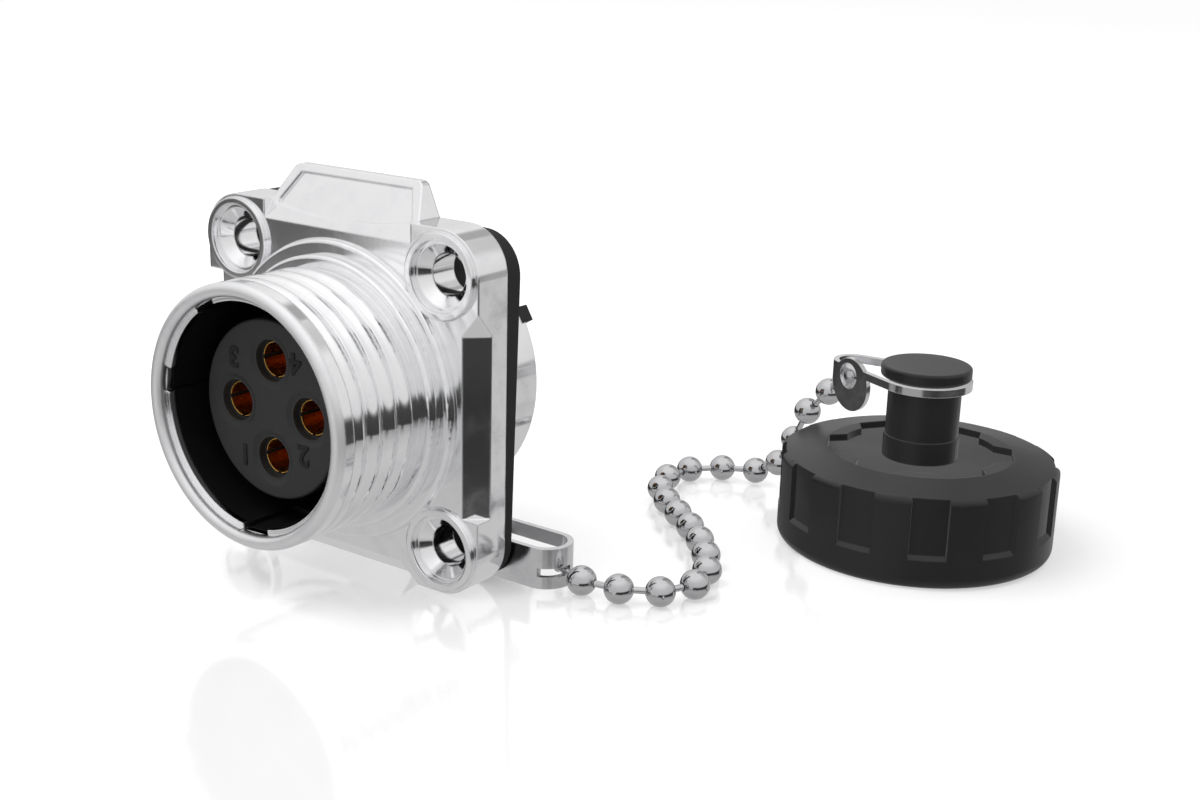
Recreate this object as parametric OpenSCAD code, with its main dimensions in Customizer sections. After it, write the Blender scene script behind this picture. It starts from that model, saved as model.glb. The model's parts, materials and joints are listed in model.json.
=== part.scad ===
// Circular power connector: square-flange panel socket with four slotted contacts,
// its screw-on dust cap and the ball chain that ties the two together.
// Frame: +Z up. The socket's axis is Y, its mating end points to -Y, and the origin is the
// centre of the flange's rear face, the face that goes against the panel. The flange stands
// on its lower edge, and the chain and the cap lie on the same level beside it. Millimetres.

/* [Flange] */
// Side of the square flange
flange_w = 30; // [29:0.1:32]
// Thickness of the flange plate
flange_t = 3.5; // [3:0.1:5]
// Distance between mounting holes, both ways
hole_pitch = 22.5; // [22:0.1:23]
// Diameter of the mounting holes
screw_d = 3.4; // [2.6:0.1:3.6]
// Diameter of the screw-head seat
seat_d = 5.8; // [5:0.1:6]
// Depth of the flat step round the seat
seat_step = 0.5; // [0.3:0.1:1]
// Height of the raised rim round each mounting hole
boss_h = 0.4; // [0.2:0.1:0.8]
// Width of the bevel along each side of the flange
bevel_w = 1.6; // [1:0.1:1.8]
// Half length of the bevel's flat
bevel_half = 6.8; // [5:0.1:7]
// Length of the pointed end of the bevel's flat
bevel_point = 1.4; // [1:0.1:1.8]

/* [Raised tab on the top edge] */
// Height of the tab above the flange
tab_h = 2.8; // [1.5:0.1:4]
// Width of the tab at the flange
tab_base_w = 16.2; // [15:0.1:16.4]
// Width of the tab at its top
tab_top_w = 13.8; // [11:0.1:14.5]
// Thickness of the tab's top
tab_top_t = 0.7; // [0.5:0.1:1.2]
// How far below the flange's edge the tab's leaning face begins
tab_low = 1.6; // [1.2:0.1:1.7]
// Rounding of the tab's upper corners
tab_corner_r = 0.8; // [0.4:0.1:1]
// Depth of the plain recessed field on the tab
field_depth = 0.25; // [0.1:0.05:0.3]

/* [Barrel] */
// Length of the barrel in front of the flange
barrel_len = 10.8; // [10.4:0.1:13]
// Crest diameter of the barrel's thread
thread_d = 21.4; // [21.3:0.1:22]
// Distance between thread crests
thread_pitch = 1.75; // [1.5:0.05:1.85]
// Radius of the round thread crest
crest_r = 0.9; // [0.8:0.05:0.95]
// Thread depth
thread_depth = 0.42; // [0.36:0.02:0.5]
// Number of full thread crests
thread_n = 4; // [3:1:4]
// Length of the plain land at the barrel's mouth
land_len = 1.7; // [1.4:0.1:2]
// Rounding of the mouth's outer edge
mouth_r = 0.55; // [0.3:0.05:0.6]
// Rounding of the mouth's inner edge
nose_r = 0.5; // [0.3:0.1:0.5]
// Inside diameter of the ledge just behind the mouth
mouth_d = 18.35; // [18:0.05:18.5]
// How far the ledge lies behind the mouth
ledge_sink = 0.9; // [0.7:0.1:1]
// Distance from the mouth to the end of the ledge
lip_len = 1.5; // [1.3:0.1:1.6]
// Inside diameter of the shell behind the ledge
shell_bore_d = 19.5; // [19.4:0.05:19.6]
// Diameter of the collar behind the thread
collar_d = 22.9; // [22.2:0.1:23.4]
// Length of the collar
collar_len = 0.9; // [0.6:0.1:1]
// Diameter of the round base on the flange
base_d = 25.2; // [24.4:0.1:25.8]
// Height of the round base
base_h = 0.6; // [0.4:0.1:0.7]
// Fillet between the base and the flange
base_fillet = 0.7; // [0.4:0.1:0.8]

/* [Keyways] */
// Depth of the keyways beyond the ledge's wall
key_depth = 0.32; // [0.2:0.02:0.34]
// Length of the keyways from the mouth
key_len = 6.5; // [4:0.5:8]

/* [Rear sleeve] */
// Outside diameter of the rear sleeve
sleeve_d = 22.9; // [22:0.1:23.2]
// Length of the rear sleeve behind the flange
sleeve_len = 8.9; // [8:0.1:12]
// Bevel on the sleeve's rear edge
sleeve_bevel = 0.4; // [0.2:0.1:0.8]

/* [Gasket] */
// Thickness of the flange gasket
gasket_t = 1.6; // [1:0.1:2.4]
// How far the gasket's edge lies inside the flange's edge
gasket_inset = 0.3; // [0.3:0.05:0.6]
// Diameter of the gasket's screw holes
gasket_hole_d = 4.4; // [4.3:0.1:4.8]
// How far the gasket sits turned on the sleeve, in degrees
gasket_turn = 1.5; // [0:0.1:1.6]
// Clearance round the sleeve
gasket_clear = 0.1; // [0.05:0.05:0.3]

/* [Insert and contacts] */
// Diameter of the front insert
insert_d = 14.7; // [14.4:0.1:15]
// How far the insert's face lies behind the mouth
insert_sink = 3.3; // [2.6:0.1:4]
// Wall of the dark liner inside the barrel
liner_wall = 0.5; // [0.45:0.05:0.55]
// Thickness of the insert's base plate
insert_base_t = 3; // [2:0.1:3.4]
// Diameter of the circle that the contacts stand on
contact_pcd = 8; // [7.6:0.1:8.2]
// Outside diameter of a contact
contact_d = 3; // [2.9:0.1:3.1]
// Inside diameter of a contact
contact_bore_d = 2.7; // [2:0.1:2.7]
// Depth of the contact's bore
contact_bore_len = 7; // [5:0.5:8]
// Width of the slots in the contact's spring end
slot_w = 0.3; // [0.2:0.05:0.4]
// Length of the slots
slot_len = 6; // [3:0.5:7]
// Diameter of the shallow dish round each contact
recess_d = 4.6; // [4.2:0.1:5]
// Depth of that dish
recess_depth = 0.2; // [0.1:0.05:0.3]
// Diameter of the hole round the contact's tip
well_d = 3.4; // [3.3:0.1:3.6]
// How far a contact's tip lies behind the insert's face
tip_sink = 0.65; // [0.5:0.05:0.8]
// Diameter of the contact's collar
contact_collar_d = 4.2; // [3.8:0.1:4.4]
// Thickness of the contact's collar
contact_collar_t = 1; // [0.6:0.1:1.4]
// Length of the solder cup behind the retainer's rim
cup_out = 2; // [0:0.1:4]
// Diameter of the solder cup's hole
cup_bore_d = 2.2; // [1.6:0.1:2.3]

/* [Rear retainer] */
// Wall of the retainer's cup
retainer_wall = 1.2; // [0.8:0.1:1.4]
// Thickness of the retainer's plate
retainer_plate_t = 2.4; // [1.5:0.1:3]
// How far the retainer stands out of the sleeve
retainer_out = 0.7; // [0.4:0.1:1.5]
// Width of the retainer's two locking lugs
lug_w = 1.4; // [1:0.1:2]
// Thickness of the sealing ring's cord
seal_cord_d = 1.1; // [0.9:0.1:1.2]

/* [Chain] */
// Ball diameter
ball_d = 2.5; // [2.3:0.05:2.6]
// Wall of a ball
ball_wall = 0.25; // [0.2:0.05:0.3]
// Diameter of the links' rods
rod_d = 0.56; // [0.5:0.02:0.6]
// Diameter of the links' heads
head_d = 0.84; // [0.8:0.02:0.9]
// Clearance between a rod and a ball's hole
rod_clear = 0.07; // [0.05:0.01:0.09]

/* [Strap loops] */
// Thickness of the strap
strap_t = 0.5; // [0.4:0.05:0.6]
// Height of the narrow band on the flange's loop
band_h = 1.2; // [0.9:0.1:1.5]
// Height of the narrow band on the cap's loop
cap_band_h = 0.7; // [0.6:0.1:1]
// Height of the wide plate on the flange's loop
flange_plate_h = 3.5; // [3:0.1:4]
// Outer radius of the flange's loop at both ends
flange_loop_r = 2.2; // [2.1:0.05:2.3]
// Distance between the two ends' centres on the flange's loop
flange_loop_span = 7.4; // [6:0.1:8]
// Radius of the round ear on the cap's loop
ear_r = 2.4; // [2.1:0.1:2.5]
// Height of the strap at the very tip of the cap loop's nose
nose_tip_h = 2.4; // [2:0.1:2.6]
// Outer radius of the cap loop's nose
cap_nose_r = 1.95; // [1.9:0.05:2.1]
// Distance from the cap's axis to the nose's centre
cap_loop_span = 7.7; // [7.4:0.1:8]
// Diameter of the round hole that shows the last ball
nose_hole_d = 2.3; // [1.8:0.1:2.4]

/* [Dust cap] */
// Outside diameter of the cap
cap_d = 24.4; // [24.2:0.1:25]
// Height of the cap
cap_h = 8.6; // [8.2:0.1:9]
// How much lower the top is at its edge
cap_drop = 0.6; // [0.3:0.1:0.9]
// Rounding of the cap's top edge
cap_edge_r = 0.5; // [0.3:0.1:0.8]
// Rounding of the cap's lower edge
cap_foot_r = 0.9; // [0.4:0.1:1]
// Clearance between the cap's thread and the barrel's
thread_clear = 0.15; // [0.1:0.05:0.2]
// Thickness of the cap's top
cap_top_t = 2.1; // [1.8:0.1:2.6]
// Number of grip recesses
grip_n = 12; // [8:1:16]
// Depth of the grip recesses
grip_depth = 0.45; // [0.3:0.05:0.5]
// Height of the plain band below the grip recesses
grip_foot = 2.4; // [2:0.1:4]
// Diameter of the shallow pocket in the top
pocket_d = 13.8; // [13:0.1:14.4]
// Depth of the pocket
pocket_depth = 0.6; // [0.4:0.1:0.8]
// Number of notches in the pocket's wall
notch_n = 6; // [4:1:8]
// Width of a notch
notch_w = 4; // [3:0.1:4.4]
// How far a notch reaches beyond the pocket
notch_out = 1.15; // [0.6:0.05:1.4]
// Diameter of the post
post_d = 6.4; // [6:0.1:6.4]
// Height of the post above the pocket's floor, to the head
post_h = 7.2; // [7:0.1:8]
// Height of the post's thicker foot
foot_h = 2; // [1.4:0.1:2.4]
// How much wider the foot is, all round
foot_step = 0.12; // [0.05:0.01:0.2]
// Diameter of the head
knob_d = 7.9; // [7.5:0.1:8.2]
// Thickness of the head
knob_t = 1.1; // [0.9:0.1:1.4]
// Thickness of the cap's sealing washer
washer_t = 0.9; // [0.6:0.1:1.2]

/* [Layout] */
// Cap's distance to the right of the socket's axis
cap_x = 36; // [36:0.1:37]
// Cap's distance behind the panel face
cap_y = 32.5; // [32:0.1:33.5]
// Direction of the cap loop's nose, from above
nose_dir = 170; // [168:1:172]

/* [Hidden] */
$fn = 64;

eps = 0.01;
fit = 0.05;                               // radial clearance of the pressed-in plastic pieces
floor_z = -flange_w/2;                    // what everything stands on
corner_r = (flange_w - hole_pitch)/2;     // the corners are concentric with the holes
mouth_s = flange_t + barrel_len;          // s is the distance in front of the panel face
bore_r = shell_bore_d/2;
thread_r = thread_d/2;
root_r = thread_r - thread_depth;
lip_s = mouth_s - lip_len;
nose_in_r = mouth_d/2 + key_depth + 0.06; // inner wall in front of the ledge
face_s = mouth_s - insert_sink;
base_s = flange_t - 0.5;                  // front of the insert's base plate
seal_gap = seal_cord_d + 0.1;
collar_s = base_s - insert_base_t - 3;    // the insert's rear end, where the contacts' collars sit
plate_s = collar_s - contact_collar_t - 0.1;
tip_s = face_s - tip_sink;               // the contacts' tips
rim_s = -sleeve_len - retainer_out;
post_r = post_d/2;
top_z = cap_h - pocket_depth;             // pocket's floor above the cap's lower edge
knob_z = top_z + post_h;
// Keyways in the ledge: [direction in degrees, width]
keys = [[20, 2.4], [53, 2.2], [119, 2.2], [172, 2.1], [272.5, 2.8]];

// ---- chain route: the balls' centres, above the surface, from the flange's loop to the cap's
loop_y = gasket_t + 0.3 + flange_loop_r;
loop_x = 16.2;                            // centre of the nose of the flange's loop
ball_r = ball_d/2;
slot_z = ball_r + 0.15;
slot_h = (rod_d + head_d)/2 + 0.06;       // lets the rod through and holds its head
chain_n = 20;
chain_end_r = cap_loop_span + 0.15;
chain_end_z = knob_z - 0.1 - 1.45;
dirv = [cos(nose_dir), sin(nose_dir)];
function by_cap(r, z) = [cap_x + dirv[0]*r, cap_y + dirv[1]*r, z];
clear_r = cap_d/2 + ball_r;               // a ball this far out would touch the cap's side
route = [
  [20.4, 3.3, ball_r], [23.4, 3.7, ball_r], [26, 4.9, ball_r], [27.7, 7, ball_r],
  [27.9, 10, ball_r], [26.1, 13.4, ball_r], [23.6, 16.5, ball_r], [20.9, 19.1, ball_r],
  [17.9, 21.5, ball_r], [15.1, 23.8, ball_r], [12.6, 26.6, ball_r], [11.6, 29.8, ball_r],
  [12.3, 33.1, ball_r], [14.8, 35.3, ball_r], [17.9, 36, ball_r + 0.3],
  by_cap(clear_r + 2.2, 3.3), by_cap(clear_r + 0.5, 6.3), by_cap(clear_r - 1, 9.5),
  by_cap(chain_end_r + 2.2, chain_end_z - 1.9), by_cap(chain_end_r, chain_end_z)];
route_m = len(route) - 1;
steps = 12;
function spline(a, b, c, d, t) = ((2*b) + (c - a)*t + (2*a - 5*b + 4*c - d)*t*t
  + (3*b - a - 3*c + d)*t*t*t)/2;
fine = [for (i = [0:route_m - 1], k = [0:steps - 1])
  spline(route[max(i - 1, 0)], route[i], route[i + 1], route[min(i + 2, route_m)], k/steps),
  route[route_m]];
function runs(i, s) = i >= len(fine) ? [] :
  concat([s], runs(i + 1, s + (i + 1 < len(fine) ? norm(fine[i + 1] - fine[i]) : 0)));
run = runs(0, 0);
total = run[len(run) - 1];
function at(s, i = 1) = i >= len(run) - 1 || run[i] >= s ?
  fine[i - 1] + (fine[i] - fine[i - 1])*(s - run[i - 1])/(run[i] - run[i - 1]) : at(s, i + 1);
function lift(p) = [p[0], p[1], floor_z + max(p[2], ball_r)];
balls = [for (i = [0:chain_n - 1]) lift(at(total*i/(chain_n - 1)))];
start = [loop_x + flange_loop_r - strap_t - head_d/2 - 0.05, loop_y, floor_z + slot_z];
sit = ball_r - ball_wall - head_d/2 - 0.03;   // from a ball's centre to a link head's centre
function unit(v) = v/norm(v);

// ---- helpers
// Turns +Z towards the socket's mating end, -Y
module axial() { rotate([90, 0, 0]) children(); }
// Turns +Z towards direction v
module toward(v) {
  rotate([0, acos(v[2]/norm(v)), atan2(v[1], v[0])]) children();
}
module rounded_square(w, r) {
  square([w, w - 2*r], center = true);
  square([w - 2*r, w], center = true);
  for (x = [-1, 1], y = [-1, 1]) translate([x*(w/2 - r), y*(w/2 - r)]) circle(r);
}
module at_holes() {
  for (x = [-1, 1], y = [-1, 1]) translate([x*hole_pitch/2, y*hole_pitch/2]) children();
}
module at_contact(i) {
  rotate([0, 0, 90*i]) translate([contact_pcd/2, 0, 0]) children();
}

// ---- shell: flange, barrel and rear sleeve in one casting
// Room above the bevel's flat, whose width is u and whose outward side is n: beyond its
// lower end the room narrows to a point between two walls that lean outwards
module bevel_room(w) {
  translate([-w, -bevel_half, 0]) cube([2*w, 2*bevel_half, 2]);
  translate([0, -bevel_half - bevel_point, 0]) intersection() {
    translate([-w, 0, 0]) cube([2*w, bevel_point + eps, 2]);
    for (m = [0, 1]) mirror([m, 0, 0]) rotate([0, 0, -atan2(w/2, bevel_point)])
      rotate([0, 25, 0]) translate([-10, -10, -10]) cube([10, 20, 20]);
  }
}
// Bevel along the flange's right side: pointed at its lower end, and at its upper end a
// slope that runs out at the corner
module bevel() {
  t = bevel_w/sqrt(2);
  w = bevel_w*sqrt(2);
  translate([flange_w/2 - bevel_w, 0, flange_t]) rotate([0, 45, 0]) {
    translate([w/2, 0, 0]) bevel_room(w);
    rotate([90, 0, 90]) translate([0, 0, -1]) linear_extrude(w + 2)
      polygon([[0, 0], [bevel_half, 0], [bevel_half + 3.4*t, 2*t], [0, 2*t]]);
  }
}
// Moves to the line where the tab's leaning face begins and tilts +Z to that face's normal
module at_leaning_face() {
  translate([0, flange_w/2 - tab_low, flange_t])
    rotate([-atan2(flange_t - tab_top_t, tab_h + tab_low), 0, 0]) children();
}
module tab_outline() {
  y0 = flange_w/2;
  b = tab_base_w/2;
  a = atan2(b - tab_top_w/2, tab_h);
  r = tab_corner_r;
  x = b - (tab_h - r)*tan(a) - r/cos(a);
  y = y0 + tab_h - r;
  polygon([[b, y0 - 1.4], [b, y0], [x + r*cos(a), y + r*sin(a)], [x, y + r], [-x, y + r],
    [-x - r*cos(a), y + r*sin(a)], [-b, y0], [-b, y0 - 1.4]]);
  for (m = [-1, 1]) translate([m*x, y]) circle(r);
}
// Plain recessed field on the leaning face, its lower border an arc
module field() {
  h = norm([flange_t - tab_top_t, tab_h + tab_low]);
  low = h*tab_low/(tab_h + tab_low);
  b = tab_base_w/2 - 0.75;
  t = tab_top_w/2 - 0.75;
  translate([0, 0, -field_depth]) linear_extrude(1) intersection() {
    polygon([[-b, 0.5], [b, 0.5], [b, low], [t, h - 0.7], [-t, h - 0.7], [-b, low]]);
    translate([-0.5, 39.9]) circle(39, $fn = 128);
  }
}
module flange() {
  difference() {
    union() {
      difference() {
        linear_extrude(flange_t) {
          rounded_square(flange_w, corner_r);
          tab_outline();
        }
        for (a = [0, 180, 270]) rotate([0, 0, a]) bevel();
        at_leaning_face() {
          translate([-tab_base_w/2 - eps, -0.3, 0]) cube([tab_base_w + 2*eps, 14, 6]);
          field();
        }
      }
      at_holes() rotate_extrude() {
        square([corner_r - 0.3, flange_t + boss_h]);
        translate([corner_r - 0.3 - 0.35, flange_t + boss_h - 0.35]) circle(0.35);
      }
    }
    at_holes() {
      translate([0, 0, -1]) cylinder(h = flange_t + 3, d = screw_d);
      translate([0, 0, flange_t + boss_h - seat_step]) cylinder(h = 2, d = seat_d);
      translate([0, 0, flange_t + boss_h - seat_step - (seat_d - 0.7 - screw_d)/2])
        cylinder(h = (seat_d - 0.7 - screw_d)/2 + eps, d1 = screw_d, d2 = seat_d - 0.7);
    }
  }
}
module barrel_profile() {
  // wall, ledge and land
  translate([bore_r, 0]) square([root_r - bore_r, mouth_s - ledge_sink]);
  translate([mouth_d/2, lip_s]) square([thread_r - mouth_d/2, lip_len - ledge_sink]);
  translate([bore_r, mouth_s - land_len]) square([thread_r - bore_r, land_len - ledge_sink]);
  // rounded nose round the mouth
  translate([nose_in_r, mouth_s - ledge_sink - eps])
    square([nose_r, ledge_sink - nose_r + eps]);
  translate([nose_in_r + nose_r, mouth_s - ledge_sink - eps])
    square([thread_r - mouth_r - nose_in_r - nose_r, ledge_sink + eps]);
  translate([thread_r - mouth_r, mouth_s - ledge_sink - eps])
    square([mouth_r, ledge_sink - mouth_r + eps]);
  translate([nose_in_r + nose_r, mouth_s - nose_r]) circle(nose_r);
  translate([thread_r - mouth_r, mouth_s - mouth_r]) circle(mouth_r);
  // round thread crests
  for (i = [0:thread_n - 1]) translate([0, mouth_s - land_len - thread_pitch*(i + 0.5)])
    intersection() {
      translate([thread_r - crest_r, 0]) circle(crest_r);
      translate([bore_r + 0.2, -2]) square(4);
    }
  // collar behind the relief groove, and the round base with its fillet
  translate([bore_r, flange_t + base_h]) square([collar_d/2 - bore_r - 0.3, collar_len]);
  translate([collar_d/2 - 0.3, flange_t + base_h + 0.3]) circle(0.3);
  translate([collar_d/2 - 0.3, flange_t + base_h + collar_len - 0.3]) circle(0.3);
  translate([collar_d/2 - 0.6, flange_t + base_h + 0.3]) square([0.6, collar_len - 0.6]);
  translate([bore_r, flange_t - 1]) square([base_d/2 - 0.3 - bore_r, base_h + 1]);
  translate([base_d/2 - 0.3, flange_t + base_h - 0.3]) circle(0.3);
  translate([bore_r, flange_t - 1]) square([base_d/2 - bore_r, base_h + 1 - 0.3]);
}
module shell() {
  color([0.86, 0.87, 0.88]) axial() difference() {
    union() {
      flange();
      rotate_extrude() barrel_profile();
      // rear sleeve
      translate([0, 0, -sleeve_len + sleeve_bevel])
        cylinder(h = sleeve_len - sleeve_bevel + 1, d = sleeve_d);
      translate([0, 0, -sleeve_len])
        cylinder(h = sleeve_bevel, d1 = sleeve_d - 2*sleeve_bevel, d2 = sleeve_d);
    }
    translate([0, 0, -sleeve_len - 1]) cylinder(h = sleeve_len + 1 + lip_s, r = bore_r);
    translate([0, 0, lip_s - eps]) cylinder(h = lip_len + 1, d = mouth_d);
    for (k = keys) rotate([0, 0, k[0]])
      translate([0, -k[1]/2, lip_s - 1]) cube([mouth_d/2 + key_depth, k[1], lip_len + 3]);
    // seats for the retainer's locking lugs
    for (a = [31, 211]) rotate([0, 0, a])
      translate([bore_r - 1, -lug_w/2 - fit, -sleeve_len - 1]) cube([6, lug_w + 2*fit, 1.9]);
  }
}

// ---- black pieces of the socket
module flange_gasket() {
  color([0.08, 0.08, 0.085]) rotate([0, gasket_turn, 0]) rotate([-90, 0, 0])
    linear_extrude(gasket_t) difference() {
      rounded_square(flange_w - 2*gasket_inset, corner_r - gasket_inset);
      circle(sleeve_d/2 + gasket_clear, $fn = 96);
      at_holes() circle(gasket_hole_d/2);
    }
}
module barrel_liner() {
  color([0.05, 0.05, 0.055]) axial() difference() {
    translate([0, 0, base_s + fit]) cylinder(h = lip_s - base_s - 2*fit, r = bore_r - fit);
    translate([0, 0, base_s - 1]) cylinder(h = lip_s - base_s + 2, r = bore_r - liner_wall);
    for (k = keys) rotate([0, 0, k[0]]) translate([5, -k[1]/2, mouth_s - key_len])
      cube([mouth_d/2 + key_depth - 5, k[1], key_len]);
  }
}
module front_insert() {
  r = insert_d/2;
  color([0.19, 0.19, 0.2]) axial() difference() {
    rotate_extrude() {
      translate([0, collar_s]) square([r, face_s - collar_s - 0.25]);
      square([r - 0.25, face_s]);
      translate([r - 0.25, face_s - 0.25]) circle(0.25);
      translate([0, base_s - insert_base_t]) square([bore_r - fit, insert_base_t]);
    }
    for (i = [0:3]) at_contact(i) {
      translate([0, 0, collar_s - 1]) cylinder(h = face_s - collar_s + 2, d = contact_d + 0.1);
      translate([0, 0, tip_s - 0.2]) cylinder(h = 3, d = well_d);
      translate([0, 0, face_s - recess_depth])
        cylinder(h = recess_depth*1.01, d1 = recess_d - 0.8, d2 = recess_d + 0.008);
    }
  }
}
module insert_seal() {
  r = (bore_r + insert_d/2)/2;
  color([0.1, 0.1, 0.1]) axial() translate([0, 0, base_s - insert_base_t - seal_cord_d/2 - fit])
    rotate_extrude() translate([r, 0]) circle(seal_cord_d/2);
}
module rear_retainer() {
  front = base_s - insert_base_t - seal_gap - fit;
  color([0.06, 0.06, 0.065]) axial() difference() {
    union() {
      translate([0, 0, rim_s]) cylinder(h = front - rim_s, r = bore_r - fit);
      for (a = [31, 211]) rotate([0, 0, a]) translate([bore_r - 1, -lug_w/2, rim_s])
        cube([sleeve_d/2 - bore_r + 0.9, lug_w, retainer_out + 0.8]);
    }
    translate([0, 0, plate_s]) cylinder(h = 20, r = bore_r - retainer_wall - 0.6);
    translate([0, 0, rim_s - 1])
      cylinder(h = plate_s - retainer_plate_t - rim_s + 1, r = bore_r - retainer_wall);
    for (i = [0:3]) at_contact(i) translate([0, 0, rim_s - 1])
      cylinder(h = 20, d = contact_d + 0.1);
  }
}

// ---- contact: slotted spring end, collar, solder cup
module contact(i) {
  rear = rim_s - cup_out;
  color([0.85, 0.62, 0.22]) axial() at_contact(i) difference() {
    union() {
      translate([0, 0, collar_s - fit]) cylinder(h = tip_s - collar_s - 0.2, d = contact_d);
      translate([0, 0, tip_s - 0.25 - fit]) cylinder(h = 0.2, d1 = contact_d, d2 = contact_d - 0.12);
      translate([0, 0, collar_s - contact_collar_t - fit])
        cylinder(h = contact_collar_t, d = contact_collar_d);
      translate([0, 0, rear]) cylinder(h = collar_s - rear - fit, d = contact_d);
    }
    translate([0, 0, tip_s - contact_bore_len]) cylinder(h = 20, d = contact_bore_d);
    translate([0, 0, tip_s - 0.25 - fit])
      cylinder(h = 0.3, d1 = contact_bore_d, d2 = contact_bore_d + 0.1);
    for (a = [0, 90]) rotate([0, 0, a])
      translate([-3, -slot_w/2, tip_s - slot_len]) cube([6, slot_w, 20]);
    translate([0, 0, rear - 1]) cylinder(h = 4.5, d = cup_bore_d);
    translate([0, -3, rear - 1]) cube([3, 6, 3]);
  }
}

// ---- strap loops that hold the chain's ends
// Outline of two round ends joined by straight sides
module pear(r1, r2, d) {
  b = acos((r1 - r2)/d);
  circle(r1);
  translate([d, 0]) circle(r2);
  polygon([[r1*cos(b), r1*sin(b)], [r1*cos(b), -r1*sin(b)],
    [d + r2*cos(b), -r2*sin(b)], [d + r2*cos(b), r2*sin(b)]]);
}
// Closed strap round the origin with its nose at +X; its top is at z = 0. The side at -Y
// widens to a plate of height h, the side at +Y stays a narrow band, and the nose itself is
// tip high.
module strap(r1, r2, d, h, from, tip) {
  difference() {
    translate([0, 0, -h]) linear_extrude(h) difference() {
      pear(r1, r2, d);
      pear(r1 - strap_t, r2 - strap_t, d);
    }
    // the band, under which nothing is left
    translate([0, 20, 0]) rotate([90, 0, 0]) linear_extrude(20)
      polygon([[-20, -band_h], [d, -band_h], [d + r2, -tip], [d + r2 + 1, -tip],
        [d + r2 + 1, -h - 5], [-20, -h - 5]]);
    translate([0, eps, 0]) rotate([90, 0, 0]) linear_extrude(20)
      polygon([[-20, -band_h], [from, -band_h], [from + 1.6, -h], [d - 0.2, -h],
        [d + r2, -tip], [d + r2 + 1, -tip], [d + r2 + 1, -h - 5], [-20, -h - 5]]);
  }
}
module flange_loop() {
  color([0.78, 0.79, 0.8])
    translate([loop_x - flange_loop_span, loop_y, floor_z + flange_plate_h]) difference() {
      strap(flange_loop_r, flange_loop_r, flange_loop_span, flange_plate_h, -1, flange_plate_h);
      // slot round the nose in which the first link's head is caught
      translate([flange_loop_span + flange_loop_r - 1.6, -20, slot_z - flange_plate_h - slot_h/2])
        cube([1.1, 20, slot_h]);
      translate([flange_loop_span + flange_loop_r - 1, -2.6, slot_z - flange_plate_h - slot_h/2])
        cube([2, 2.95, slot_h]);
    }
}
module cap_loop() {
  r1 = post_r + foot_step + 0.25 + strap_t;
  drop = knob_z - 0.1;
  color([0.78, 0.79, 0.8]) translate([cap_x, cap_y, floor_z + drop])
    rotate([0, 0, nose_dir]) mirror([0, 1, 0]) difference() {
      intersection() {
        translate([0, 0, -6]) linear_extrude(8) difference() {
          pear(r1, cap_nose_r, cap_loop_span);
          pear(r1 - strap_t, cap_nose_r - strap_t, cap_loop_span);
        }
        union() {
          translate([-20, -20, -cap_band_h]) cube([40, 40, cap_band_h]);
          // round ear on the side at -Y
          translate([cap_loop_span - 1.35, 0, -1.65]) rotate([90, 0, 0]) cylinder(h = 20, r = ear_r);
          // deeper strap round the nose's tip
          translate([cap_loop_span + 0.6, -20, -nose_tip_h]) cube([20, 40, nose_tip_h]);
        }
      }
      // hole that shows the last ball to someone who looks from above the socket
      translate([cap_loop_span - 1.05, 0, -0.9]) rotate([90, 0, 0]) cylinder(h = 5, d = nose_hole_d);
      // upright slot in the nose, through which the last link leaves
      translate([cap_loop_span, -0.45, -3.6]) cube([4, 0.9, 2.9]);
    }
}

// ---- ball chain
module chain_ball(i) {
  c = balls[i - 1];
  before = i == 1 ? start : balls[i - 2];
  hole = rod_d + 2*rod_clear;
  after = i < chain_n ? balls[i] : 2*c - before;
  color([0.8, 0.81, 0.82]) translate(c) difference() {
    toward(after - before) rotate([90, 0, 0]) sphere(ball_r);
    toward(after - before) rotate([90, 0, 0]) sphere(ball_r - ball_wall);
    toward(before - c) cylinder(h = ball_d, d = hole);
    if (i < chain_n) toward(after - c) cylinder(h = ball_d, d = hole);
  }
}
module chain_pin(i) {
  b = balls[i - 1];
  a = i == 1 ? start : balls[i - 2];
  v = unit(b - a);
  p = i == 1 ? a : a + v*sit;
  q = b - v*sit;
  color([0.72, 0.73, 0.74]) {
    translate(p) toward(v) cylinder(h = norm(q - p), d = rod_d);
    translate(p) toward(v) rotate([90, 0, 0]) sphere(head_d/2);
    translate(q) toward(v) rotate([90, 0, 0]) sphere(head_d/2);
  }
}

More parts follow.
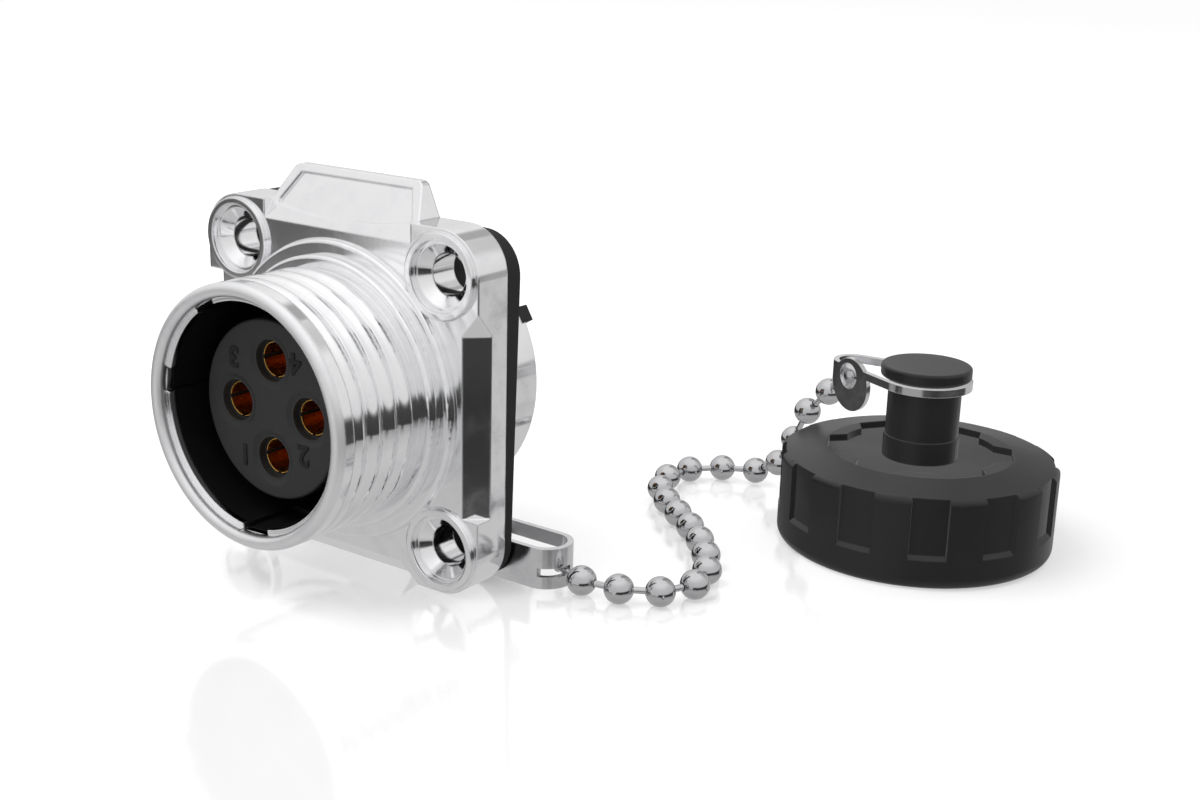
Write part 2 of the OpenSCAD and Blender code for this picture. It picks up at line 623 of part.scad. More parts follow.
// ---- dust cap
module grip() {
  step = 360/grip_n;
  intersection() {
    rotate_extrude() polygon([[cap_d/2 - grip_depth, grip_foot + 0.6],
      [cap_d/2 + 1, grip_foot - 0.4], [cap_d/2 + 1, cap_h + 1], [cap_d/2 - grip_depth, cap_h + 1]]);
    for (i = [0:grip_n - 1]) rotate([0, 0, step*i]) linear_extrude(cap_h + 2)
      polygon([[0, 0], [20*cos(step/4), -20*sin(step/4)], [20*cos(step/4), 20*sin(step/4)]]);
  }
}
module cap_profile() {
  r = cap_d/2;
  zr = cap_h - cap_drop;
  inner = thread_r + thread_clear;
  crest = crest_r - 0.3;
  last_crest = cap_h - cap_top_t - washer_t - crest - 0.1;
  difference() {
    union() {
      polygon([[0, 0], [r - cap_foot_r, 0], [r - cap_foot_r, cap_foot_r], [r, cap_foot_r],
        [r, zr - cap_edge_r], [r - cap_edge_r, zr], [pocket_d/2 + notch_out + 0.2, cap_h],
        [0, cap_h]]);
      translate([r - cap_foot_r, cap_foot_r]) circle(cap_foot_r);
      translate([r - cap_edge_r, zr - cap_edge_r]) circle(cap_edge_r);
    }
    translate([0, -1]) square([inner, cap_h - cap_top_t + 1]);
  }
  // the cap's thread, which meshes with the barrel's crests
  for (i = [0:2]) translate([inner, last_crest - thread_pitch*i]) intersection() {
    translate([crest - thread_depth + 0.05, 0]) circle(crest);
    translate([-2, -2]) square([2.1, 4]);
  }
}
module dust_cap() {
  color([0.09, 0.09, 0.095]) translate([cap_x, cap_y, floor_z]) {
    difference() {
      rotate_extrude() cap_profile();
      grip();
      translate([0, 0, top_z]) linear_extrude(3) {
        circle(pocket_d/2, $fn = 96);
        for (i = [0:notch_n - 1]) rotate(25 + 360/notch_n*i)
          polygon([[pocket_d/2 - 1, -notch_w/2 - 0.6], [pocket_d/2 + notch_out, -notch_w/2 + 0.3],
            [pocket_d/2 + notch_out, notch_w/2 - 0.3], [pocket_d/2 - 1, notch_w/2 + 0.6]]);
      }
    }
    rotate_extrude() {
      translate([0, top_z - 1]) square([post_r, post_h + 1.2]);
      translate([0, top_z - 1]) square([post_r + foot_step, foot_h + 1]);
      translate([0, knob_z]) square([knob_d/2 - 0.25, knob_t]);
      translate([0, knob_z + 0.25]) square([knob_d/2, knob_t - 0.5]);
      translate([knob_d/2 - 0.25, knob_z + 0.25]) circle(0.25);
      translate([knob_d/2 - 0.25, knob_z + knob_t - 0.25]) circle(0.25);
    }
  }
}
module cap_washer() {
  color([0.12, 0.12, 0.12])
    translate([cap_x, cap_y, floor_z + cap_h - cap_top_t - washer_t]) linear_extrude(washer_t)
      difference() {
        circle(thread_r + thread_clear - fit, $fn = 96);
        circle(mouth_d/2 - 0.6, $fn = 96);
      }
}

shell();
flange_gasket();
barrel_liner();
front_insert();
insert_seal();
contact(0);  // contact_1
contact(1);  // contact_2
contact(2);  // contact_3
contact(3);  // contact_4
rear_retainer();
flange_loop();
cap_loop();
chain_ball(1);  // ball_01
chain_ball(2);  // ball_02
chain_ball(3);  // ball_03
chain_ball(4);  // ball_04
chain_ball(5);  // ball_05
chain_ball(6);  // ball_06
chain_ball(7);  // ball_07
chain_ball(8);  // ball_08
chain_ball(9);  // ball_09
chain_ball(10);  // ball_10
chain_ball(11);  // ball_11
chain_ball(12);  // ball_12
chain_ball(13);  // ball_13
chain_ball(14);  // ball_14
chain_ball(15);  // ball_15
chain_ball(16);  // ball_16
chain_ball(17);  // ball_17
chain_ball(18);  // ball_18
chain_ball(19);  // ball_19
chain_ball(20);  // ball_20
chain_pin(1);  // pin_01
chain_pin(2);  // pin_02
chain_pin(3);  // pin_03
chain_pin(4);  // pin_04
chain_pin(5);  // pin_05
chain_pin(6);  // pin_06
chain_pin(7);  // pin_07
chain_pin(8);  // pin_08
chain_pin(9);  // pin_09
chain_pin(10);  // pin_10
chain_pin(11);  // pin_11
chain_pin(12);  // pin_12
chain_pin(13);  // pin_13
chain_pin(14);  // pin_14
chain_pin(15);  // pin_15
chain_pin(16);  // pin_16
chain_pin(17);  // pin_17
chain_pin(18);  // pin_18
chain_pin(19);  // pin_19
chain_pin(20);  // pin_20
dust_cap();
cap_washer();
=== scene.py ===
# %% [markdown]
# # A panel socket and its chained dust cap
#
# The object is a circular power connector: a bright plated socket with a
# square flange, four gold contacts inside, and a black screw cap that hangs
# on a ball chain. Its shapes come ready made from a CAD model, in metres, and
# stay where they are. Blender adds what the CAD model can't hold: the finish
# of each material, the small moulded numbers, and the light.

import json
import math

import bpy
from mathutils import Matrix, Vector


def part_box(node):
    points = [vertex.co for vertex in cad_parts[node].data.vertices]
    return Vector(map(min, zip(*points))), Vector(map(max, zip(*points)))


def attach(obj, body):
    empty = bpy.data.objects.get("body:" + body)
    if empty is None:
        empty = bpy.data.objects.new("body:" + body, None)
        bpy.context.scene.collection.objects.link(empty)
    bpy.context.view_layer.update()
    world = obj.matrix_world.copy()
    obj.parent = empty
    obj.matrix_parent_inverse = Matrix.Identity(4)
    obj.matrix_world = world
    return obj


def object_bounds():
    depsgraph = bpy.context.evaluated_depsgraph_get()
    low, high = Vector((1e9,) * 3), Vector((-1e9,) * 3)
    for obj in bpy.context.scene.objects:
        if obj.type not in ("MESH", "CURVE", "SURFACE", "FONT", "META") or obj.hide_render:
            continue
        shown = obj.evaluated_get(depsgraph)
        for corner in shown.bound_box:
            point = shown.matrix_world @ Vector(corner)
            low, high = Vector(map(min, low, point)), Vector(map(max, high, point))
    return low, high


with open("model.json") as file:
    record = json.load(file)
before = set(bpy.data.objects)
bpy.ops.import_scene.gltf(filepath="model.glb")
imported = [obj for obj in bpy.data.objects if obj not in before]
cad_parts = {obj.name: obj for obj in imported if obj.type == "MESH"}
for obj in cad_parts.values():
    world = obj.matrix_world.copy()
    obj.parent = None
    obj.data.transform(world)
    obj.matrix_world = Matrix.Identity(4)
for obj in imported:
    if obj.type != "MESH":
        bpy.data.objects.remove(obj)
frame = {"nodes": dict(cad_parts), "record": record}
cad_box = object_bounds()
nodes = frame["nodes"]
slot_of = {part["node"]: part["material_slot"] for part in frame["record"]["subparts"]}
MM = 0.001

# %% [markdown]
# ## The camera
#
# A product picture is taken with a short telephoto from a little above. The
# camera could be placed by hand and pointed with a Track To constraint. Here
# it is placed by azimuth, elevation and distance from the middle of the
# flange, because these are the numbers that a photographer would write down.
# Azimuth 0 looks straight into the socket's mouth.

# %% Place the camera
AZIMUTH, ELEVATION, ROLL = (math.radians(a) for a in (35.3, 16.6, 1.6))
DISTANCE = 135.0 * MM
PAN, TILT = 21.65 * MM, -0.83 * MM  # from the flange towards the cap
SENSOR, LENS = 36.0, 49.0
flange_front = Vector((0, -3.5 * MM, 0))


def looking_axes(azimuth, elevation, roll):
    """The camera's right, up and back directions."""
    back = Vector((
        math.sin(azimuth) * math.cos(elevation),
        -math.cos(azimuth) * math.cos(elevation),
        math.sin(elevation),
    ))
    right = Vector((math.cos(azimuth), math.sin(azimuth), 0))
    up = back.cross(right)
    c, s = math.cos(roll), math.sin(roll)
    return c * right + s * up, c * up - s * right, back


right, up, back = looking_axes(AZIMUTH, ELEVATION, ROLL)
camera = bpy.data.objects.new("Camera", bpy.data.cameras.new("Camera"))
bpy.context.scene.collection.objects.link(camera)
camera.data.sensor_width = SENSOR
camera.data.lens = LENS
camera.data.clip_start = 1 * MM
camera.matrix_world = Matrix.Translation(
    flange_front + DISTANCE * back + PAN * right + TILT * up
) @ Matrix((right, up, back)).transposed().to_4x4()
bpy.context.scene.camera = camera
bpy.context.scene.view_settings.view_transform = "Standard"
print("camera at", [round(c / MM, 1) for c in camera.location], "mm")

# %% [markdown]
# ## Two helpers for shader nodes
#
# Materials are built from nodes in code. Typing every link by hand is long
# and hides what matters, so one helper adds a node with its values and its
# incoming links together, and another starts a node group with named sockets.
# A group is an effect that several materials share, each with its own values.

# %% Helpers for nodes and groups
SOCKET_KINDS = {float: "NodeSocketFloat", tuple: "NodeSocketColor"}


def put(tree, kind, inputs=None, **properties):
    """Add one node. An input is a value, or another node's output."""
    node = tree.nodes.new(kind)
    for name, value in properties.items():
        setattr(node, name, value)
    for name, value in (inputs or {}).items():
        if isinstance(value, bpy.types.NodeSocket):
            tree.links.new(value, node.inputs[name])
        else:
            node.inputs[name].default_value = value
    return node


def maths(tree, operation, *values):
    """One Math node, fed in order."""
    inputs = dict(enumerate(values))
    return put(tree, "ShaderNodeMath", inputs, operation=operation).outputs[0]


def fade(tree, value, low, high):
    """0 below low, 1 above high, smooth between."""
    return put(
        tree,
        "ShaderNodeMapRange",
        {"Value": value, "From Min": low, "From Max": high},
        interpolation_type="SMOOTHSTEP",
    ).outputs[0]


def start_group(name, inputs, outputs):
    """A node group, with its inner ends of the named inputs and outputs."""
    tree = bpy.data.node_groups.new(name, "ShaderNodeTree")
    for label, value in inputs.items():
        socket = tree.interface.new_socket(
            name=label, in_out="INPUT", socket_type=SOCKET_KINDS[type(value)]
        )
        socket.default_value = value
    for label, kind in outputs.items():
        tree.interface.new_socket(name=label, in_out="OUTPUT", socket_type=kind)
    given = tree.nodes.new("NodeGroupInput").outputs
    made = tree.nodes.new("NodeGroupOutput").inputs
    return tree, given, made


def use_group(tree, name, **values):
    """Place a group in a material. Words in the keywords stand for spaces."""
    node = put(tree, "ShaderNodeGroup", node_tree=bpy.data.node_groups[name])
    for label, value in values.items():
        socket = node.inputs[label.replace("_", " ")]
        if isinstance(value, bpy.types.NodeSocket):
            tree.links.new(value, socket)
        else:
            socket.default_value = value
    return node.outputs


# %% [markdown]
# ## Soft edges
#
# No cast or moulded edge is a knife edge: plating and tool wear round it, and
# that thin round is what catches the light. A Bevel modifier would change the
# mesh. The Bevel shader node bends the normal near an edge instead, and the
# angle between the bent and the true normal makes a mask of the edges.

# %% Group: soft edges
EDGE_BEGINS, EDGE_FULL = 0.98, 0.75  # cosines between bent and true normal
tree, given, made = start_group(
    "Soft edges",
    {"Radius mm": 0.15},
    {"Normal": "NodeSocketVector", "Edge": "NodeSocketFloat"},
)
radius = maths(tree, "MULTIPLY", given["Radius mm"], MM)
bevel = put(tree, "ShaderNodeBevel", {"Radius": radius}, samples=6)
true_normal = put(tree, "ShaderNodeNewGeometry").outputs["Normal"]
cosine = put(
    tree,
    "ShaderNodeVectorMath",
    {0: bevel.outputs[0], 1: true_normal},
    operation="DOT_PRODUCT",
).outputs["Value"]
edge = put(
    tree,
    "ShaderNodeMapRange",
    {"Value": cosine, "From Min": EDGE_BEGINS, "From Max": EDGE_FULL},
).outputs[0]
tree.links.new(bevel.outputs[0], made["Normal"])
tree.links.new(edge, made["Edge"])
print("group", tree.name, "made")

# %% [markdown]
# ## Casting ripple
#
# A zinc die casting is never quite flat. Under bright plating its faint waves
# bend every reflection, and that is what tells metal from a mirror. Two
# layers of noise give the height: a slow wave and a finer orange peel.

# %% Group: casting ripple
tree, given, made = start_group(
    "Casting ripple",
    {"Wave mm": 3.0, "Peel mm": 0.4, "Peel share": 0.2},
    {"Height": "NodeSocketFloat"},
)
place = put(tree, "ShaderNodeTexCoord").outputs["Object"]


def noise(tree, size_mm, detail=2.0, roughness=0.5):
    """Noise whose lumps are about that many millimetres across."""
    scale = maths(tree, "DIVIDE", 1.0 / MM, size_mm)
    return put(
        tree,
        "ShaderNodeTexNoise",
        {"Vector": place, "Scale": scale, "Detail": detail, "Roughness": roughness},
    ).outputs[0]


wave = noise(tree, given["Wave mm"])
peel = noise(tree, given["Peel mm"])
height = maths(tree, "MULTIPLY_ADD", peel, given["Peel share"], wave)
tree.links.new(height, made["Height"])
print("group", tree.name, "made")

# %% [markdown]
# ## Moulded grain
#
# Injection-moulded nylon and rubber take the fine sparked texture of their
# mould. It is too small for geometry, at a few hundredths of a millimetre, so
# it is a bump. The same group gives a slow cloud that varies the sheen, since
# a moulding is a little glossier where the plastic pressed hardest.

# %% Group: moulded grain
tree, given, made = start_group(
    "Moulded grain",
    {"Grain mm": 0.09, "Cloud mm": 5.0},
    {"Height": "NodeSocketFloat", "Cloud": "NodeSocketFloat"},
)
place = put(tree, "ShaderNodeTexCoord").outputs["Object"]
grain = noise(tree, given["Grain mm"], detail=3.0, roughness=0.65)
cloud = noise(tree, given["Cloud mm"], detail=3.0)
tree.links.new(grain, made["Height"])
tree.links.new(cloud, made["Cloud"])
print("group", tree.name, "made")

# %% [markdown]
# ## Handling marks
#
# Plating that has been handled carries a faint film: soft smudges a few
# millimetres wide and very fine wipe lines. Neither changes the colour much.
# They raise the roughness, so this group gives one mask for that.

# %% Group: handling marks
SMUDGE_FROM, SMUDGE_FULL = 0.42, 0.72  # noise levels where a smudge starts and is full
WIPE_STRETCH = (1.0, 0.12, 0.6)  # a low scale draws the noise out along that axis
tree, given, made = start_group(
    "Handling marks",
    {"Smudge mm": 2.5, "Wipe mm": 0.12},
    {"Film": "NodeSocketFloat"},
)
place = put(tree, "ShaderNodeTexCoord").outputs["Object"]
smudge = noise(tree, given["Smudge mm"], detail=4.0, roughness=0.6)
soft = fade(tree, smudge, SMUDGE_FROM, SMUDGE_FULL)
place = put(
    tree, "ShaderNodeMapping", {"Vector": place, "Scale": WIPE_STRETCH}
).outputs[0]
wipe = noise(tree, given["Wipe mm"])
film = maths(tree, "MULTIPLY", soft, wipe)
tree.links.new(film, made["Film"])
print("group", tree.name, "made")

# %% [markdown]
# ## Bright nickel
#
# The shell, the pressed loops and the chain are all nickel plated, but not
# alike: the casting is the brightest, the strip keeps its rolling lines, and
# the balls are tumbled. One function builds all three from the shared groups,
# and the values say how they differ. Metallic is 1 all over, so it is set on
# the shader's own socket.

# %% Build the nickel materials
materials = {}


def new_material(slot):
    """An empty material for one slot of the record."""
    material = bpy.data.materials.new(slot)
    material.use_nodes = True
    material.node_tree.nodes.clear()
    materials[slot] = material
    return material.node_tree


def finish_material(tree, **sockets):
    """The Principled shader and the output. Underscores stand for spaces."""
    values = {name.replace("_", " "): value for name, value in sockets.items()}
    shader = put(tree, "ShaderNodeBsdfPrincipled", values)
    put(tree, "ShaderNodeOutputMaterial", {"Surface": shader.outputs[0]})


def blend_colours(tree, share, first, second):
    """Mix two colours by a mask."""
    mix = put(tree, "ShaderNodeMix", data_type="RGBA", clamp_factor=True)
    for index, value in ((0, share), (6, first), (7, second)):
        if isinstance(value, bpy.types.NodeSocket):
            tree.links.new(value, mix.inputs[index])
        else:
            mix.inputs[index].default_value = value
    return mix.outputs[2]


def bumped(tree, height, normal, strength, deep_mm=0.02):
    """The normal, bent by a height that is deep_mm at full strength."""
    inputs = {
        "Strength": strength,
        "Distance": deep_mm * MM,
        "Height": height,
        "Normal": normal,
    }
    return put(tree, "ShaderNodeBump", inputs).outputs[0]


SATIN_ROUGHNESS = 0.36  # what turning adds to the plating's own roughness
CAST_TO, TURNED_FROM = -13.4 * MM, -13.8 * MM  # along Y, at the barrel's mouth


def turned_mouth(tree):
    """1 on the mouth's turned face and lip, 0 on the cast skin behind it."""
    place = put(tree, "ShaderNodeTexCoord").outputs["Object"]
    along = put(tree, "ShaderNodeSeparateXYZ", {0: place}).outputs["Y"]
    return fade(tree, along, CAST_TO, TURNED_FROM)


def plate(slot, bright, dull, rough, film, wave_mm, ripple, edge_mm, satin=None):
    """Nickel. Film is the roughness that handling adds, satin masks turned metal."""
    tree = new_material(slot)
    edges = use_group(tree, "Soft edges", Radius_mm=edge_mm)
    cast = use_group(tree, "Casting ripple", Wave_mm=wave_mm)
    marks = use_group(tree, "Handling marks")
    colour = blend_colours(tree, marks["Film"], bright, dull)
    rougher = maths(tree, "MULTIPLY_ADD", marks["Film"], film, rough)
    if satin:
        rougher = maths(tree, "MULTIPLY_ADD", satin(tree), SATIN_ROUGHNESS, rougher)
    finish_material(
        tree,
        Base_Color=colour,
        Metallic=1.0,
        Roughness=rougher,
        Normal=bumped(tree, cast["Height"], edges["Normal"], ripple),
    )


plate(
    "plated_shell", bright=(0.9, 0.9, 0.91, 1), dull=(0.82, 0.82, 0.84, 1),
    rough=0.09, film=0.1, wave_mm=4.0, ripple=0.2, edge_mm=0.22, satin=turned_mouth,
)
plate(
    "plated_strap", bright=(0.72, 0.72, 0.73, 1), dull=(0.6, 0.6, 0.62, 1),
    rough=0.14, film=0.14, wave_mm=2.0, ripple=0.3, edge_mm=0.06,
)
plate(
    "plated_chain", bright=(0.56, 0.56, 0.57, 1), dull=(0.46, 0.46, 0.48, 1),
    rough=0.1, film=0.1, wave_mm=1.5, ripple=0.25, edge_mm=0.05,
)
print("nickel on", sum(s.startswith("plated") for s in slot_of.values()), "solids")

# %% [markdown]
# ## Gold contacts
#
# Each contact is a turned and slotted sleeve with a gold flash. Gold looks
# orange and then red deep in a bore, because the light has bounced several
# times and each bounce takes more green and blue. A path tracer does that by
# itself, so the colour here is only the colour of one bounce. Turning leaves
# fine rings, which a Wave texture along the contact's axis draws.

# %% Build the gold
GOLD_BRIGHT, GOLD_DULL = (1.0, 0.58, 0.14, 1), (0.95, 0.5, 0.1, 1)
GOLD_ROUGH, GOLD_FILM, GOLD_RIPPLE = 0.22, 0.1, 0.25
GOLD_RINGS_MM = 0.01  # how deep the turned rings are
TURNING_SCALE = 1800.0  # of the Wave texture, in metres: rings of about 0.17 mm
tree = new_material("contact_metal")
place = put(tree, "ShaderNodeTexCoord").outputs["Object"]
rings = put(
    tree,
    "ShaderNodeTexWave",
    {"Vector": place, "Scale": TURNING_SCALE, "Distortion": 1.5, "Detail": 2.0},
    bands_direction="Y",
)
marks = use_group(tree, "Handling marks", Smudge_mm=0.8)
edges = use_group(tree, "Soft edges", Radius_mm=0.06)
finish_material(
    tree,
    Base_Color=blend_colours(tree, marks["Film"], GOLD_BRIGHT, GOLD_DULL),
    Metallic=1.0,
    Roughness=maths(tree, "MULTIPLY_ADD", marks["Film"], GOLD_FILM, GOLD_ROUGH),
    Normal=bumped(
        tree, rings.outputs["Fac"], edges["Normal"], GOLD_RIPPLE, GOLD_RINGS_MM
    ),
)
print("gold on", sum(s == "contact_metal" for s in slot_of.values()), "contacts")

# %% [markdown]
# ## Moulded blacks and greys
#
# Four dark materials meet in this connector: the grey thermoset insert, the
# black liner round it, the black nylon cap, and rubber. They differ less in
# colour than in how they shine, so one function takes the two colours, the
# roughness and the grain. The edges of a moulding are a little paler, because
# they are burnished.

# %% Build the mouldings
CLOUD_SHARE, EDGE_SHARE = 0.6, 0.5  # of the pale colour


def mould(slot, deep, pale, rough, cloudiness, grain_mm, grain, edge_mm, specular):
    """A moulding between two greys, deep in its skin and pale where burnished."""
    tree = new_material(slot)
    edges = use_group(tree, "Soft edges", Radius_mm=edge_mm)
    skin = use_group(tree, "Moulded grain", Grain_mm=grain_mm)
    share = maths(tree, "MULTIPLY", skin["Cloud"], CLOUD_SHARE)
    worn = maths(tree, "MULTIPLY", edges["Edge"], EDGE_SHARE)
    share = maths(tree, "ADD", share, worn)
    rougher = maths(tree, "MULTIPLY_ADD", skin["Cloud"], cloudiness, rough)
    finish_material(
        tree,
        Base_Color=blend_colours(tree, share, (*deep, 1), (*pale, 1)),
        Roughness=rougher,
        Specular_IOR_Level=specular,
        Normal=bumped(tree, skin["Height"], edges["Normal"], grain),
    )


mould(
    "grey_insert", deep=(0.022, 0.022, 0.023), pale=(0.036, 0.036, 0.037),
    rough=0.42, cloudiness=0.15, grain_mm=0.1, grain=0.5, edge_mm=0.08, specular=0.3,
)
mould(
    "black_liner", deep=(0.004, 0.004, 0.004), pale=(0.012, 0.012, 0.012),
    rough=0.35, cloudiness=0.15, grain_mm=0.1, grain=0.3, edge_mm=0.08, specular=0.3,
)
mould(
    "black_nylon", deep=(0.007, 0.007, 0.007), pale=(0.018, 0.018, 0.018),
    rough=0.3, cloudiness=0.14, grain_mm=0.12, grain=0.5, edge_mm=0.14, specular=0.4,
)
mould(
    "black_rubber", deep=(0.012, 0.012, 0.012), pale=(0.026, 0.026, 0.026),
    rough=0.6, cloudiness=0.2, grain_mm=0.15, grain=0.6, edge_mm=0.15, specular=0.3,
)
print("materials:", sorted(materials))

# %% [markdown]
# ## Dress the solids
#
# The record names the finish of every solid, and the materials above have the
# record's names. So dressing the whole model is one loop. The black cap stands
# where the socket's side would mirror it as a black bar. A photographer would
# move it away and take two pictures. Here it is left out of mirrored rays.

# %% Give each solid its material
for name, solid in nodes.items():
    solid.material_slots[0].material = materials[slot_of[name]]
for name in ("dust_cap", "cap_washer"):
    nodes[name].visible_glossy = False  # a studio flag: keeps black off the chrome
print("dressed", len(nodes), "solids")

# %% [markdown]
# ## The contact numbers
#
# The insert carries the numbers 1 to 4 in low relief, upside down when the
# flange's tab is at the top. They could be a bump, but small raised figures
# keep a true edge from every side. They are cut from Blender's own font, made
# a little bolder with the curve's offset, turned to face the mouth, and sunk
# slightly into the insert's face. They take the liner's black, so that they
# read a little darker than the grey face round them.

# %% Mould the numbers
NUMBER_HEIGHT, NUMBER_RELIEF, NUMBER_BOLDER = 1.7 * MM, 0.12 * MM, 0.05 * MM
CAPITAL = 0.72  # a capital's height as a share of the font's size
NUMBER_EDGE = 0.03 * MM
NUMBER_PLACES = {
    "1": (-3.1, -4.25), "2": (3.55, -3.0), "3": (-4.05, 3.75), "4": (2.9, 4.35),
}
insert_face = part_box("front_insert")[0][1]

for figure, (x, z) in NUMBER_PLACES.items():
    text = bpy.data.curves.new("number_" + figure, "FONT")
    text.body = figure
    text.size = NUMBER_HEIGHT / CAPITAL
    text.offset = NUMBER_BOLDER
    text.align_x, text.align_y = "CENTER", "CENTER"
    text.extrude = NUMBER_RELIEF / 2
    text.bevel_depth = NUMBER_EDGE
    text.bevel_resolution = 2
    text.resolution_u = 12
    number = bpy.data.objects.new("number_" + figure, text)
    bpy.context.scene.collection.objects.link(number)
    number.matrix_world = (
        Matrix.Translation((x * MM, insert_face, z * MM))
        @ Matrix.Rotation(math.radians(90), 4, "X")
        @ Matrix.Rotation(math.pi, 4, "Z")
    )
    text.materials.append(materials["black_liner"])
    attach(number, "receptacle")
print("numbers", sorted(NUMBER_PLACES))
print("on the face at", round(insert_face / MM, 2), "mm")

# %% [markdown]
# ## The table
#
# The socket stands on a pale glossy sheet: shadows are soft, and a faint
# upside-down copy of the object fades into it. A plain white floor would
# show no such copy. So the sheet mixes a diffuse shader with a little mirror,
# and adds its own white for camera rays, which keeps the paper white while the
# shadow still shows.

# %% Lay the table
floor_level = cad_box[0][2]
middle = Vector([(a + b) / 2 for a, b in zip(*cad_box)])
TABLE_HALF = 1.5
MIRROR_NEAR, MIRROR_FAR = 0.3, 0.03  # how much of a mirror the sheet is
WHITE_NEAR, WHITE_FAR = 0.36, 0.52  # its own white, for camera rays
PAPER, SHEET_ROUGHNESS = (0.8, 0.8, 0.8, 1), 0.1
NEAR_TO, FAR_FROM = 60 * MM, 150 * MM  # distance from the object's middle
corners = ((-1, -1), (1, -1), (1, 1), (-1, 1))
mesh = bpy.data.meshes.new("table")
mesh.from_pydata(
    [(x * TABLE_HALF, y * TABLE_HALF, floor_level) for x, y in corners],
    [],
    [(0, 1, 2, 3)],
)
table = bpy.data.objects.new("table", mesh)
bpy.context.scene.collection.objects.link(table)
table.visible_glossy = False

sheet = bpy.data.materials.new("glossy_sheet")
sheet.use_nodes = True
tree = sheet.node_tree
tree.nodes.clear()
paper = put(tree, "ShaderNodeBsdfDiffuse", {"Color": PAPER})
mirror = put(
    tree, "ShaderNodeBsdfGlossy", {"Color": (1, 1, 1, 1), "Roughness": SHEET_ROUGHNESS}
)
place = put(tree, "ShaderNodeTexCoord").outputs["Object"]
away = put(
    tree,
    "ShaderNodeVectorMath",
    {0: place, 1: middle},
    operation="DISTANCE",
).outputs["Value"]
near = fade(tree, away, FAR_FROM, NEAR_TO)
share = maths(tree, "MULTIPLY_ADD", near, MIRROR_NEAR - MIRROR_FAR, MIRROR_FAR)
own_white = maths(tree, "MULTIPLY_ADD", near, WHITE_NEAR - WHITE_FAR, WHITE_FAR)
sheen = put(
    tree, "ShaderNodeMixShader", {0: share, 1: paper.outputs[0], 2: mirror.outputs[0]}
)
seen = put(tree, "ShaderNodeLightPath").outputs["Is Camera Ray"]
glow = put(
    tree,
    "ShaderNodeEmission",
    {"Color": (1, 1, 1, 1), "Strength": maths(tree, "MULTIPLY", seen, own_white)},
)
both = put(tree, "ShaderNodeAddShader", {0: sheen.outputs[0], 1: glow.outputs[0]})
put(tree, "ShaderNodeOutputMaterial", {"Surface": both.outputs[0]})
mesh.materials.append(sheet)
print("table at", round(floor_level / MM, 2), "mm")

# %% [markdown]
# ## The studio
#
# Bright metal shows the room and little else, so the room is the finish. A
# product studio is a white tent over a pale table, and between the two, where
# the table ends, there is a dark gap: that gap draws the dark lines on chrome.
# White cards stood in the gap break it up again. The whole room could be
# modelled, but here it is written into the world, as a colour ramp over the
# height of a ray and a few cards given by azimuth and elevation. Camera rays
# see plain white, and diffuse rays an even light.

# %% Build the room that the metal reflects
world = bpy.data.worlds.new("studio")
bpy.context.scene.world = world
world.use_nodes = True
tree = world.node_tree
tree.nodes.clear()
direction = put(tree, "ShaderNodeTexCoord").outputs["Generated"]
ray = put(tree, "ShaderNodeSeparateXYZ", {0: direction}).outputs
elevation = maths(tree, "DEGREES", maths(tree, "ARCSINE", ray["Z"]))
azimuth = maths(
    tree,
    "DEGREES",
    maths(tree, "ARCTAN2", ray["X"], maths(tree, "MULTIPLY", ray["Y"], -1.0)),
)


def ramp(tree, value, stops):
    """A smooth curve of brightness over elevation, through (degrees, level)."""
    share = put(
        tree, "ShaderNodeMapRange", {"Value": value, "From Min": -90, "From Max": 90}
    ).outputs[0]
    node = put(tree, "ShaderNodeValToRGB", {0: share})
    elements = node.color_ramp.elements
    while len(elements) < len(stops):
        elements.new(0.5)
    for element, (degrees, level) in zip(elements, stops):
        element.position = (degrees + 90) / 180
        element.color = (level, level, level, 1)
    return node.outputs[0]


def stand_card(tree, room, azimuths, elevations, level, soft):
    """Lay a card of that level over the room, with soft edges in degrees."""
    cover = 1.0
    for value, (low, high) in ((azimuth, azimuths), (elevation, elevations)):
        inside = maths(
            tree,
            "MULTIPLY",
            fade(tree, value, low - soft / 2, low + soft / 2),
            fade(tree, value, high + soft / 2, high - soft / 2),
        )
        cover = maths(tree, "MULTIPLY", cover, inside)
    mix = put(tree, "ShaderNodeMix", {0: cover, 2: room, 3: level}, data_type="FLOAT")
    return mix.outputs[0]


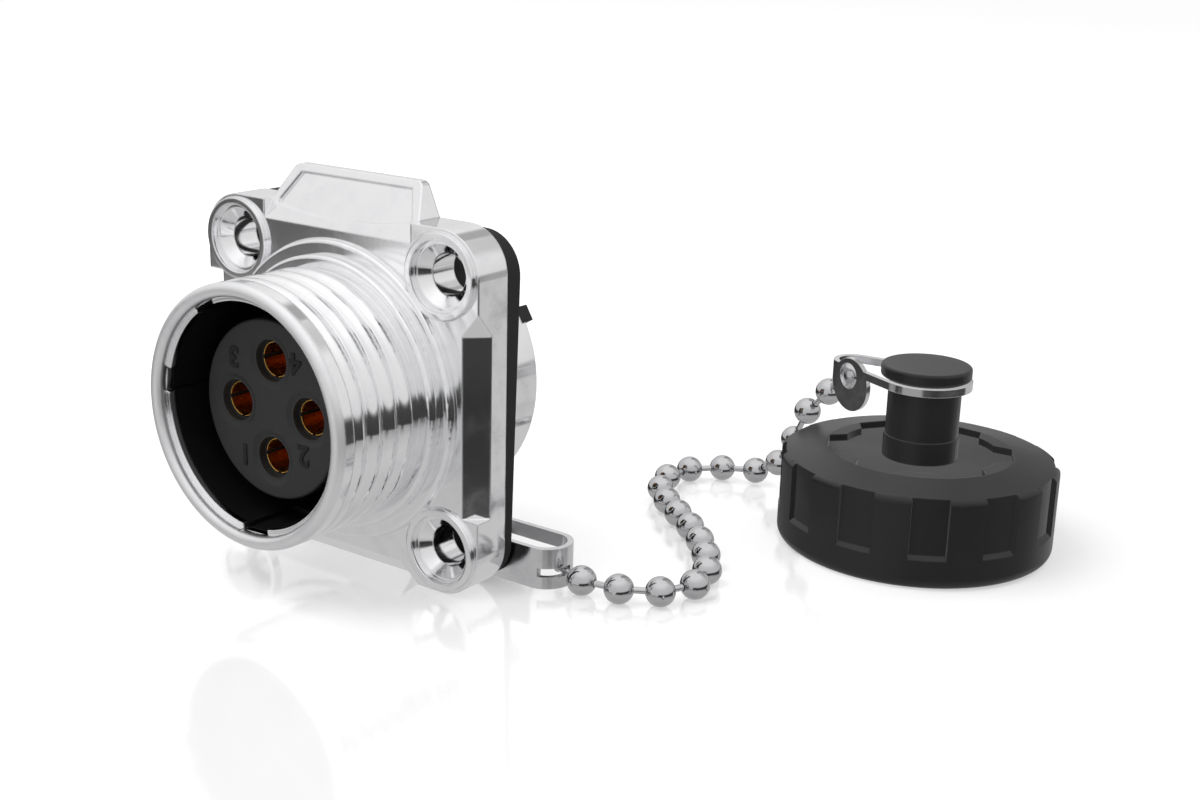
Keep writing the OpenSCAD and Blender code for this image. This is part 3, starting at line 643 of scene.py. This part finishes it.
TENT_AND_TABLE = [
    (-90, 0.50), (-60, 0.55), (-35, 0.60), (-25, 0.52), (-21.5, 0.40), (-18, 0.07),
    (-15, 0.045), (-5, 0.06), (-3, 0.22), (-0.5, 0.74), (30, 0.84), (45, 0.98),
    (60, 1.12),
]
LEFT_TABLE = [
    (-30, 0.58), (-21, 0.56), (-17, 0.42), (-13.5, 0.3), (-11, 0.1), (-4, 0.1),
]
room = ramp(tree, elevation, TENT_AND_TABLE)
left_table = ramp(tree, elevation, LEFT_TABLE)
CARDS = [  # azimuths and elevations in degrees, level, softness in degrees
    ((-70, 18), (-28, -3), left_table, 4.0),  # the nearer table, at the left
    ((-43.5, 18), (-12.3, -2), 0.78, 2.0),  # white card before the left gap
    ((40, 60), (-21.8, -16), 0.03, 1.5),  # dark edge of the table, at the right
    ((138.5, 181), (-24, -9), 0.6, 2.0),  # card behind the object, low
    ((138.5, 181), (-9, -2), 0.42, 2.0),  # and its dimmer upper half
    ((-181, -150), (-24, -2), 0.6, 2.0),  # the same card, past the seam at 180
    ((150, 181), (4, 50), 0.62, 10.0),  # a dimmer panel of the tent, behind
    ((-181, -157), (4, 58), 0.42, 9.0),  # and beyond the seam
]
for azimuths, elevations, level, soft in CARDS:
    room = stand_card(tree, room, azimuths, elevations, level, soft)

EVEN_LIGHT = 0.55  # what diffuse rays see
path = put(tree, "ShaderNodeLightPath").outputs
mirrored = maths(tree, "MAXIMUM", path["Is Glossy Ray"], path["Is Transmission Ray"])
level = put(
    tree, "ShaderNodeMix", {0: mirrored, 2: EVEN_LIGHT, 3: room}, data_type="FLOAT"
).outputs[0]
level = put(
    tree,
    "ShaderNodeMix",
    {0: path["Is Camera Ray"], 2: level, 3: 1.0},
    data_type="FLOAT",
).outputs[0]
background = put(
    tree, "ShaderNodeBackground", {"Color": (1, 1, 1, 1), "Strength": level}
)
put(tree, "ShaderNodeOutputWorld", {"Surface": background.outputs[0]})
print("room built, even light", EVEN_LIGHT)

# %% [markdown]
# ## The lamps
#
# Two softboxes model the object: a large one above and to the left, and a
# smaller one behind on the right that lifts the far edges. Area lamps give
# the soft shadows of a light tent. Their power is low, so that pale metal
# keeps its greys.

# %% Hang the lamps
LAMP_DISTANCE = 0.5


def softbox(name, azimuth, elevation, width, power):
    """A square area lamp, aimed at the middle of the object."""
    lamp = bpy.data.objects.new(name, bpy.data.lights.new(name, "AREA"))
    bpy.context.scene.collection.objects.link(lamp)
    lamp.data.shape = "SQUARE"
    lamp.data.size = width
    lamp.data.energy = power
    lamp.visible_glossy = False
    right, up, back = looking_axes(math.radians(azimuth), math.radians(elevation), 0)
    turn = Matrix((right, up, back)).transposed().to_4x4()
    lamp.matrix_world = Matrix.Translation(middle + LAMP_DISTANCE * back) @ turn


softbox("key", azimuth=-40, elevation=58, width=0.36, power=1.3)
softbox("rim", azimuth=150, elevation=40, width=0.22, power=0.5)
